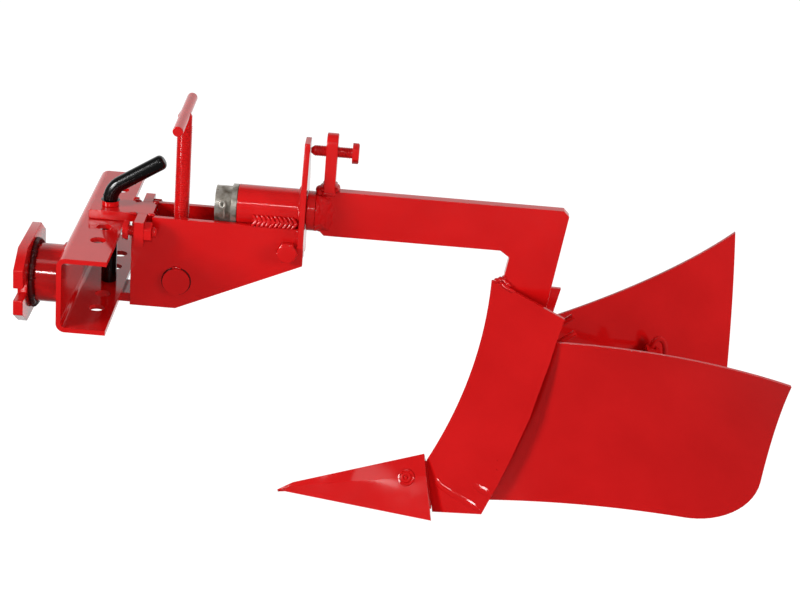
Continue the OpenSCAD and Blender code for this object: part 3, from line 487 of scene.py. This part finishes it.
# %% [markdown]
# ### Weld sleeve of the beam
# The flat beam is welded to a round ring, and the weld fills the step between them like a sleeve. A
# row of beads would leave gaps there. So a short tube is spun, its rear end is squeezed to the
# beam's thickness, and two noises make it lumpy.

# %% Helpers for turned pieces


def turned(profile, steps=40):
    """Spins a profile of radius and height, in millimetres, round Z."""
    mesh = bpy.data.meshes.new("turned")
    edges = [(i, i + 1) for i in range(len(profile) - 1)]
    mesh.from_pydata([(r * MM, 0, z * MM) for r, z in profile], edges, [])
    obj = bpy.data.objects.new("turned", mesh)
    bpy.context.collection.objects.link(obj)
    only(obj)
    bpy.ops.object.mode_set(mode="EDIT")
    bpy.ops.mesh.select_all(action="SELECT")
    bpy.ops.mesh.spin(steps=steps, angle=math.tau, center=(0, 0, 0), axis=(0, 0, 1))
    bpy.ops.mesh.select_all(action="SELECT")
    bpy.ops.mesh.remove_doubles(threshold=0.00002)
    bpy.ops.mesh.normals_make_consistent(inside=False)
    bpy.ops.object.mode_set(mode="OBJECT")
    return obj


def point_along(obj, place, direction, turn=0):
    """Lays local Z along a direction, with the local origin at a place in millimetres."""
    spin = Matrix.Rotation(math.radians(turn), 4, "Z")
    aim = Vector(direction).to_track_quat("Z", "Y").to_matrix().to_4x4()
    obj.matrix_world = Matrix.Translation(Vector(place) * MM) @ aim @ spin
    return obj


# %% Weld sleeve
SLEEVE_X, SLEEVE_RADIUS, SLEEVE_LENGTH = 290.6, 21.2, 20
AXIS = 0.01  # a radius that the spin can merge
wall = [(SLEEVE_RADIUS, z) for z in range(SLEEVE_LENGTH + 1)]
sleeve = turned([(AXIS, -0.4)] + wall + [(AXIS, SLEEVE_LENGTH + 0.4)], 64)
for vertex in sleeve.data.vertices:
    share = max(0, min(1, vertex.co.z / (SLEEVE_LENGTH * MM)))
    vertex.co.x *= 1.0 + 0.1 * share
    vertex.co.y *= 1.0 - 0.74 * share**0.8
lumpy(sleeve, 5.5, 1.5)
lumpy(sleeve, 2.4, 0.7)
smooth(sleeve, 80)
point_along(sleeve, on_line(SLEEVE_X, 0, HUB_Z), (1, 0, 0), 90)
keep(sleeve, "weld_beam_ring", weld_coat, "plough")
print("weld sleeve faces:", len(sleeve.data.polygons))

# %% Welds of the upright and nose
# Beads across the upright's foot: x, z and radius of each
flare = ((294.0, 86.2, 5.0), (296.4, 90.4, 3.2), (297.4, 94.4, 1.7), (310.6, 90.0, 3.4), (309.8, 94.0, 1.8))
for i, (x, z, thick) in enumerate(flare):
    bead(f"upright_{i}", [on_line(x, y, z) for y in (-8.5, 8.5)], thick, "plough", 4.0)
for side, word in ((-1, "near"), (1, "far")):
    bead("upright_" + word, [on_line(x, side * 8.4, 86.6) for x in (296, 311)], 3.6, "plough", 4.0)
    nose = [(491.5, 4, 1.6), (495, 8, -0.4), (501, 10.8, -2.8), (507.5, 13, -4.8)]
    bead("nose_" + word, [on_line(x, side * y, z) for x, y, z in nose], 3.1, "plough", 4.2)
    leg = [(493.5, 3, 5.4), (498, 6.8, 2.2), (503, 8.4, -0.6)]
    bead("leg_" + word, [on_line(x, side * y, z) for x, y, z in leg], 2.8, "plough", 4.2)
cap = [(484.8, 0, 0.6), (489, 0, 2.2), (495.5, 0, 4.6)]
bead("nose_cap", [on_line(*place) for place in cap], 4.2, "plough", 4.4)
# Spatter that the coat has covered
spots = (("plough", (506.2, 39.2, -192.8)), ("plough", (506.1, 37.0, -202.6)))
spots += (("wing_near", (552.6, 42.2, -68.8)), ("wing_near", (552.6, 42.8, -78.5)))
for i, (body_name, place) in enumerate(spots):
    bead(f"spatter_{i}", [Vector(place), Vector(place) + Vector((0.8, -0.3, -0.8))], 0.9, body_name)
print("upright and nose welded")

# %% [markdown]
# ### Creases in the rolled plate
# Rolling has left two shallow creases low on the near mouldboard, and their upper flanks catch the
# window light as white streaks. Moving the plate's own points would need a much finer mesh there, so
# each crease is a rod that is pressed flat onto the plate: its round section becomes a low roof with
# straight flanks.

# %% Creases


def crease(name, path, half_width, height):
    """A low ridge on the near mouldboard along a path."""
    plate = bpy.data.objects["rounded_mouldboard_near"]
    points = evenly([Vector(place) for place in path], 2)
    shares = [min(1, 0.3 + 0.2 * min(i, len(points) - 1 - i)) for i in range(len(points))]
    obj = tube(points, half_width, thickness=shares, roundness=6)
    for vertex in obj.data.vertices:
        _, foot, outwards, _ = plate.closest_point_on_mesh(vertex.co)
        share = min(1, max(-1, (vertex.co - foot).dot(outwards) / (half_width * MM)))
        roof = height * (1 - math.sqrt(1 - share * share)) if share > 0 else -0.4
        vertex.co = foot + outwards * roof * MM
    lumpy(obj, 7, 0.25)
    smooth(obj, 60)
    keep(obj, "crease_" + name, red_coat, "plough")


crease("long", [(439, 67.3, -236), (451, 60, -242), (465, 50.5, -246), (493, 32.5, -252.5)], 4.2, 0.76)
crease("short", [(483, 45.5, -227), (493, 39.5, -230), (505, 30.5, -234)], 4.8, 0.95)
print("two creases pressed")

# %% [markdown]
# ## Threads and screws
# The machine is set by screws, and their crests show against the light, so stripes in a material
# would not do. A screw modifier sweeps a small tooth upwards round an axis, as a die cuts a thread.
# Its open ends are filled, and the ridge is joined to a plain rod. A bolt's hexagon is cut by a wide
# cone, which leaves the curved chamfer of a real forged head.

# %% Helpers for rods and threads


def rod(radius, low, high, tip=0, tip_radius=0):
    """A round rod along Z, with a coned tip if asked."""
    bpy.ops.object.select_all(action="DESELECT")
    bpy.ops.mesh.primitive_cylinder_add(
        vertices=40, radius=radius * MM, depth=(high - low) * MM, location=(0, 0, (low + high) / 2 * MM)
    )
    obj = bpy.context.active_object
    bpy.ops.object.transform_apply(location=True)
    if tip:
        bpy.ops.object.mode_set(mode="EDIT")
        bpy.ops.mesh.select_mode(type="FACE")
        bpy.ops.mesh.select_all(action="DESELECT")
        bpy.ops.object.mode_set(mode="OBJECT")
        for face in obj.data.polygons:
            face.select = face.normal.z > 0.9
        bpy.ops.object.mode_set(mode="EDIT")
        bpy.ops.mesh.extrude_region_move(TRANSFORM_OT_translate={"value": (0, 0, tip * MM)})
        share = tip_radius / radius
        bpy.ops.transform.resize(value=(share, share, 1), center_override=(0, 0, (high + tip) * MM))
        bpy.ops.object.mode_set(mode="OBJECT")
    return obj


def thread(root, crest, pitch, low, high):
    """A helical ridge along Z."""
    bpy.ops.object.select_all(action="DESELECT")
    bpy.ops.mesh.primitive_circle_add(vertices=3, radius=1)
    obj = bpy.context.active_object
    tooth = [(root - 0.3, -0.46 * pitch), (crest, 0), (root - 0.3, 0.46 * pitch)]
    for vertex, (r, z) in zip(obj.data.vertices, tooth):
        vertex.co = (r * MM, 0, (z + low) * MM)
    modify(
        obj,
        "SCREW",
        angle=math.tau,
        screw_offset=pitch * MM,
        iterations=max(1, int((high - low) / pitch)),
        steps=20,
        render_steps=20,
        axis="Z",
        use_normal_calculate=True,
    )
    bpy.ops.object.mode_set(mode="EDIT")
    bpy.ops.mesh.select_all(action="SELECT")
    bpy.ops.mesh.remove_doubles(threshold=0.000001)
    bpy.ops.mesh.fill_holes(sides=0)
    bpy.ops.mesh.select_all(action="SELECT")
    bpy.ops.mesh.normals_make_consistent(inside=False)
    bpy.ops.object.mode_set(mode="OBJECT")
    return obj


# %% Helpers for bolt heads


def hex_head(flats, height):
    """A chamfered hexagon head from z = -height to 0, its crown downwards."""
    bpy.ops.object.select_all(action="DESELECT")
    middle = (0, 0, -height / 2 * MM)
    corner = flats / 2 / math.cos(math.radians(30))
    bpy.ops.mesh.primitive_cylinder_add(vertices=6, radius=corner * MM, depth=height * MM, location=middle)
    head = bpy.context.active_object
    bpy.ops.object.transform_apply(location=True)
    crown = flats / 2 * 0.97
    bpy.ops.mesh.primitive_cone_add(
        vertices=60,
        radius1=crown * MM,
        radius2=(crown + 1.8 * height) * MM,
        depth=height * MM,
        location=middle,
    )
    cone = bpy.context.active_object
    bpy.ops.object.transform_apply(location=True)
    modify(head, "BOOLEAN", operation="INTERSECT", object=cone, solver="EXACT")
    bpy.data.objects.remove(cone)
    modify(head, "BEVEL", width=0.3 * MM, segments=2, limit_method="ANGLE", angle_limit=math.radians(25))
    return head


def join(first, *others):
    bpy.ops.object.select_all(action="DESELECT")
    for obj in (first, *others):
        obj.select_set(True)
    bpy.context.view_layer.objects.active = first
    bpy.ops.object.join()
    return first


# %% Depth screw with its fine thread
low_end, shoulder = -38.6, 156.8
screw = join(rod(7.45, low_end, shoulder - 1.2, 3.6, 5.4), thread(7.4, 8.0, 2.0, low_end + 1.2, 146))
smooth(screw, 35)
point_along(screw, (SCREW_X, BEAM_Y, 0), (0, 0, 1))
keep(screw, "threaded_depth_screw", red_coat, "depth_screw", ["depth_screw"])
print("depth screw faces:", len(screw.data.polygons))

# %% Roll screw and swing screws
FLATS, ROOT, CREST, PITCH = 19, 5.35, 6.0, 1.75  # a 12 mm screw
ROLL_HEAD = Vector((324.4, BEAM_Y, 130))
SWING_X, SWING_Y, SWING_Z = 99.8, 35.35, 37.5


def set_screw(head, length, tip, tip_radius, first, last):
    """A 12 mm screw along Z: the head below 0, the rod above it, threaded from first to last."""
    shank = rod(ROOT, 0, length, tip, tip_radius)
    screw = join(hex_head(FLATS, head), shank, thread(ROOT - 0.05, CREST, PITCH, first, last))
    smooth(screw, 35)
    return screw


roll = point_along(set_screw(7, 39.4, 3.6, 2.6, 1.4, 38.4), ROLL_HEAD, (-1, 0, 0), 12)
keep(roll, "threaded_roll_screw", red_coat, "roll_screw", ["roll_screw"])
for side, word in ((-1, "near"), (1, "far")):
    swing = set_screw(6, 27.4, 1.6, 4.2, 1.2, 26.6)
    point_along(swing, on_line(SWING_X, side * SWING_Y, SWING_Z), (1, 0, 0))
    name = "swing_screw_" + word
    keep(swing, "threaded_" + name, red_coat, name, [name])
print("screws cut: roll screw and two swing screws")

# %% Pivot bolt
PIVOT_X, PIVOT_Z = 264.5, 25
pivot = join(hex_head(20, 9), rod(7.0, 0, 61, 2.0, 5.6))
smooth(pivot, 35)
point_along(pivot, on_line(PIVOT_X, -CHEEK_SIDE, PIVOT_Z), (0, 1, 0), 30)
keep(pivot, "forged_pivot_bolt", red_coat, "pitch_frame", ["pivot_bolt"])
print("pivot bolt faces:", len(pivot.data.polygons))

# %% [markdown]
# ### Black coat on the lock pin
# The lock pin is black where it shows inside the channel. A second material on the pin would end in
# a jagged line along its triangles, so the coat is a sleeve of its own, 0.15 mm proud of the pin and
# rounded at its ends.

# %% Lock pin's coat
LOCK_X = 74.5
pin_coat = rod(8.15, -56.4, 50.2)
modify(pin_coat, "BEVEL", width=0.8 * MM, segments=2, limit_method="ANGLE", angle_limit=math.radians(60))
smooth(pin_coat, 35)
point_along(pin_coat, (LOCK_X, BEAM_Y, 0), (0, 0, 1))
keep(pin_coat, "black_coat_on_lock_pin", grip_plastic, "lock_pin")
print("lock pin coated")

# %% [markdown]
# ## Split pin and stay pin
# The split pin is half-round wire folded on itself: an eye outside the collar, and a leg bent down
# to hold it. The far stay pin is a rod with its top bent over, so that it can't drop out. Either could
# be extruded bend by bend. A round section drawn along a path is the same shape in one step, and the
# path is easy to correct.

# %% Split pin
PIN_X, PIN_TURN = 194.1, math.radians(17)
out = Vector((0, -math.cos(PIN_TURN), math.sin(PIN_TURN)))
across = Vector((0, math.sin(PIN_TURN), math.cos(PIN_TURN)))
hub = on_line(PIN_X, 0, HUB_Z)
turns = [math.tau * i / 24 for i in range(24)]
eye = [hub + out * 22.2 + Vector((2.6 * math.cos(a), 0, 0)) + across * 3.2 * math.sin(a) for a in turns]
eye_ring = tube(eye, 1.6, closed=True)
shank = tube([hub + out * d for d in (19.6, 10, 0, -10, -21)], 2.3)
bend = [math.radians(14 - 3 * i) for i in range(16)]
leg = tube([hub + 20.3 * Vector((0.1, -math.cos(a), math.sin(a))) for a in bend], 1.2)
split_pin = join(eye_ring, shank, leg)
smooth(split_pin, 60)
keep(split_pin, "bent_split_pin", bare_steel, "plough", ["split_pin"])
print("split pin bent")

# %% Far stay pin with its top bent over
hook = [(666.7, 72, -115), (670.5, 72, -101), (671.8, 72, -90), (673, 72, -85), (675.6, 72.2, -81.8)]
hook += [(679, 72.6, -81), (682.4, 73.2, -82.8), (685.2, 74, -87), (687, 75, -93), (688, 76, -100)]
stay_pin = tube(evenly([on_line(*place) for place in hook], 1.5), 3.0, roundness=5)
smooth(stay_pin, 60)
keep(stay_pin, "bent_stay_pin_far", red_coat, body_of_node["stay_pin_far"], ["stay_pin_far"])
print("stay pin bent")

# %% [markdown]
# ## Share and its bolts
# The share is pressed from plate: each side is folded a little along a line from the tip to its bolt,
# and the ridge drops to the tip. Folding a flat sheet by hand would leave its thickness uneven, so a
# grid is laid out by one formula and then made solid. The bolts are countersunk, with a driven
# dimple. A spun profile, as from a lathe, makes the rings of the head and its cone together.

# %% Share with its folded sides
TIP, RIDGE, FOOT = Vector((267.8, 0, -272)), Vector((428, 0, -211.5)), Vector((441, 41, -272))
FACE = Vector((-0.199, 0.83, 0.52))  # the way a side faces
FOLD_DEPTH, FOLD_LINE = 5.6, 0.34  # the fold's place is a share of the way from ridge to foot
RIDGE_RISE, NOSE_SHARE = 5.2, 0.11  # the ridge stands up behind the nose, and drops at it


def share_place(across, along):
    """A point on the share's outside: across from -1 to 1 over the ridge, along from tip to rear."""
    u, side = abs(across), math.copysign(1, across)
    place = TIP.lerp(RIDGE, along).lerp(TIP.lerp(FOOT, along), u)
    nose = min(along / NOSE_SHARE, 1) * (1 - along)
    fold = FOLD_DEPTH * min(along / 0.5, 1) * (1 - 0.9 * max(0, along - 0.5))
    place += FACE * fold * min(u / FOLD_LINE, (1 - u) / (1 - FOLD_LINE))
    place.z += RIDGE_RISE * nose * (1 - u) ** 1.4
    return Vector((place.x, side * place.y + BEAM_Y, place.z))


bpy.ops.object.select_all(action="DESELECT")
bpy.ops.mesh.primitive_grid_add(x_subdivisions=36, y_subdivisions=36, size=2)
share = bpy.context.active_object
for vertex in share.data.vertices:
    vertex.co = share_place(vertex.co.x, max(0.004, (vertex.co.y + 1) / 2)) * MM
bpy.ops.object.mode_set(mode="EDIT")
bpy.ops.mesh.select_all(action="SELECT")
bpy.ops.mesh.flip_normals()
bpy.ops.object.mode_set(mode="OBJECT")
faces_up = sum(face.normal.z > 0 for face in share.data.polygons)
print("share faces up:", faces_up, "of", len(share.data.polygons))
modify(share, "SOLIDIFY", thickness=3 * MM, offset=-1, use_even_offset=False)
modify(share, "BEVEL", width=0.4 * MM, segments=2, limit_method="ANGLE", angle_limit=math.radians(60))
smooth(share, 9)
keep(share, "folded_share", red_coat, "plough", ["share"])

# %% Share bolts
face_profile = [(AXIS, 1.5), (1.3, 1.3), (1.8, 0.1), (2.7, 0.1)]
face_profile += [(3.3, 1.4), (5.4, 1.5), (6.1, 0.1), (7.1, 0.1)]
side_profile = [(7.7, 1.2), (9.0, 0.9), (9.6, -0.5), (5.0, -4.0), (5.0, -8.0), (AXIS, -8.0)]
heads = []
for side in (-1, 1):
    head = turned(face_profile + side_profile)
    heads.append(point_along(head, share_place(side * FOLD_LINE, 0.87), (FACE.x, side * FACE.y, FACE.z)))
    only(head)
    bpy.ops.object.transform_apply(location=True, rotation=True, scale=True)
share_bolts = join(*heads)
smooth(share_bolts, 35)
keep(share_bolts, "countersunk_share_bolts", red_coat, "plough", ["share_bolts"])
print("share bolts driven:", len(heads))

# %% [markdown]
# ## Camera
# The camera sits where the photograph was taken from: square to the machine's left side, 23 degrees
# up and rolled a little. A tracking constraint could aim it, but it can't roll it. So the lens's
# right, top and forward directions are worked out, and they make its rotation.

# %% Camera
DISTANCE = 2.096
FOCAL_PX, IMAGE_PX, SENSOR = 1960.5, 800, 36.0
AZIMUTH, ELEVATION, ROLL = (math.radians(a) for a in (-0.38, 23.0, 4.98))
target = Vector((0.3866, 0.076, -0.0301))
ahead = Vector(
    (-math.sin(AZIMUTH) * math.cos(ELEVATION), math.cos(AZIMUTH) * math.cos(ELEVATION), -math.sin(ELEVATION))
)
level = Vector((math.cos(AZIMUTH), math.sin(AZIMUTH), 0))
upward = level.cross(ahead)
right = math.cos(ROLL) * level + math.sin(ROLL) * upward
top = math.cos(ROLL) * upward - math.sin(ROLL) * level
bpy.ops.object.camera_add(location=target - DISTANCE * ahead)
camera = bpy.context.active_object
camera.rotation_euler = Matrix((right, top, -ahead)).transposed().to_euler()
camera.data.sensor_width = SENSOR
camera.data.lens = FOCAL_PX / IMAGE_PX * SENSOR
bpy.context.scene.camera = camera
print("lens", round(camera.data.lens, 1), "mm")

# %% [markdown]
# ## Floor and back wall
# The machine stands in a white studio. White paint on a floor would turn grey under so few lamps, so
# the paper glows by itself, and it is hidden from the gloss and from bounced light, which would wash
# the red out. The world is a white wall behind the machine and dim elsewhere, because gloss paint
# mirrors all of it.

# %% Floor
FLOOR_Z = -0.275
bpy.ops.mesh.primitive_plane_add(size=14, location=(0.4, 0.5, FLOOR_Z))
floor = bpy.context.active_object
floor.name = "studio_floor"
floor_paper, _, floor_shader, _ = new_finish("white studio paper, lit from behind")
floor_shader.inputs["Base Color"].default_value = linear("#6A6A6A")
floor_shader.inputs["Roughness"].default_value = 0.9
floor_shader.inputs["Specular IOR Level"].default_value = 0.0
floor_shader.inputs["Emission Color"].default_value = linear("#FFFFFF")
floor_shader.inputs["Emission Strength"].default_value = 1.0
floor.data.materials.append(floor_paper)
floor.visible_glossy = False
floor.visible_diffuse = False
print("floor at", FLOOR_Z, "m")

# %% White back wall
world = bpy.data.worlds.new("studio with a white back wall")
world.use_nodes = True
tree = world.node_tree
facing = add(tree, "ShaderNodeTexCoord").outputs["Generated"]
parts = add(tree, "ShaderNodeSeparateXYZ", links={"Vector": facing})
glow = add(
    tree,
    "ShaderNodeMapRange",
    {"From Min": 0.4, "From Max": 0.82, "To Min": 0.14, "To Max": 0.95, "interpolation_type": "SMOOTHSTEP"},
    {"Value": parts.outputs["Y"]},
)
tree.nodes["Background"].inputs["Color"].default_value = linear("#FFFFFF")
tree.links.new(glow.outputs["Result"], tree.nodes["Background"].inputs["Strength"])
bpy.context.scene.world = world
print("back wall:", world.name)

# %% [markdown]
# ## Lamps
# Gloss paint shows every lamp. So the panels that light it are kept out of its reflections, and a few
# cards that light nothing are put where a white streak belongs, as a photographer would put them.

# %% Lamps


def softbox(name, place, aim, size, power, mirrored=True, lighting=True):
    """A rectangular lamp. It can be kept out of the reflections, or do nothing but be reflected."""
    bpy.ops.object.light_add(type="AREA", location=place)
    lamp = bpy.context.active_object
    lamp.name = name
    lamp.data.shape = "RECTANGLE"
    lamp.data.size, lamp.data.size_y = size
    lamp.data.energy = power
    lamp.rotation_euler = (Vector(aim) - Vector(place)).to_track_quat("-Z", "Y").to_euler()
    lamp.visible_camera = False
    lamp.visible_glossy = mirrored
    lamp.visible_diffuse = lighting


# Panels that light
softbox("front_panel", (0.4, -2.7, 0.75), (0.42, 0.05, -0.05), (2.8, 1.4), 18, mirrored=False)
softbox("floor_bounce", (0.4, -1.3, -0.22), (0.45, 0.05, -0.05), (2.0, 0.4), 6, mirrored=False)
softbox("right_panel", (2.6, -0.9, 0.7), (0.6, 0.15, -0.1), (0.8, 0.8), 34, mirrored=False)
softbox("top_panel", (0.3, -0.6, 2.6), (0.3, 0.05, 0), (2.0, 2.0), 10, mirrored=False)
# A window that lights and shows in the gloss
softbox("left_window", (-1.75, -1.15, 0.85), (0.42, 0.05, -0.1), (0.7, 0.7), 46)
# Cards that only show in the gloss: on the hub, the spigot, the creases and the tops
softbox("strip_over_camera", (0.6, -2.5, 1.7), (0.38, 0.05, 0), (1.6, 0.08), 9, lighting=False)
softbox("strip_at_left", (-0.95, -5.05, 1.96), (0, 0, 0), (0.3, 0.44), 20, lighting=False)
softbox("low_card", (-1.45, -1.65, 0.37), (0.465, 0.05, -0.243), (0.42, 0.42), 11, lighting=False)
softbox("ceiling_card", (-0.6, -0.85, 2.1), (0.38, 0.06, -0.25), (0.9, 0.5), 2, lighting=False)
bpy.context.scene.view_settings.view_transform = "Standard"
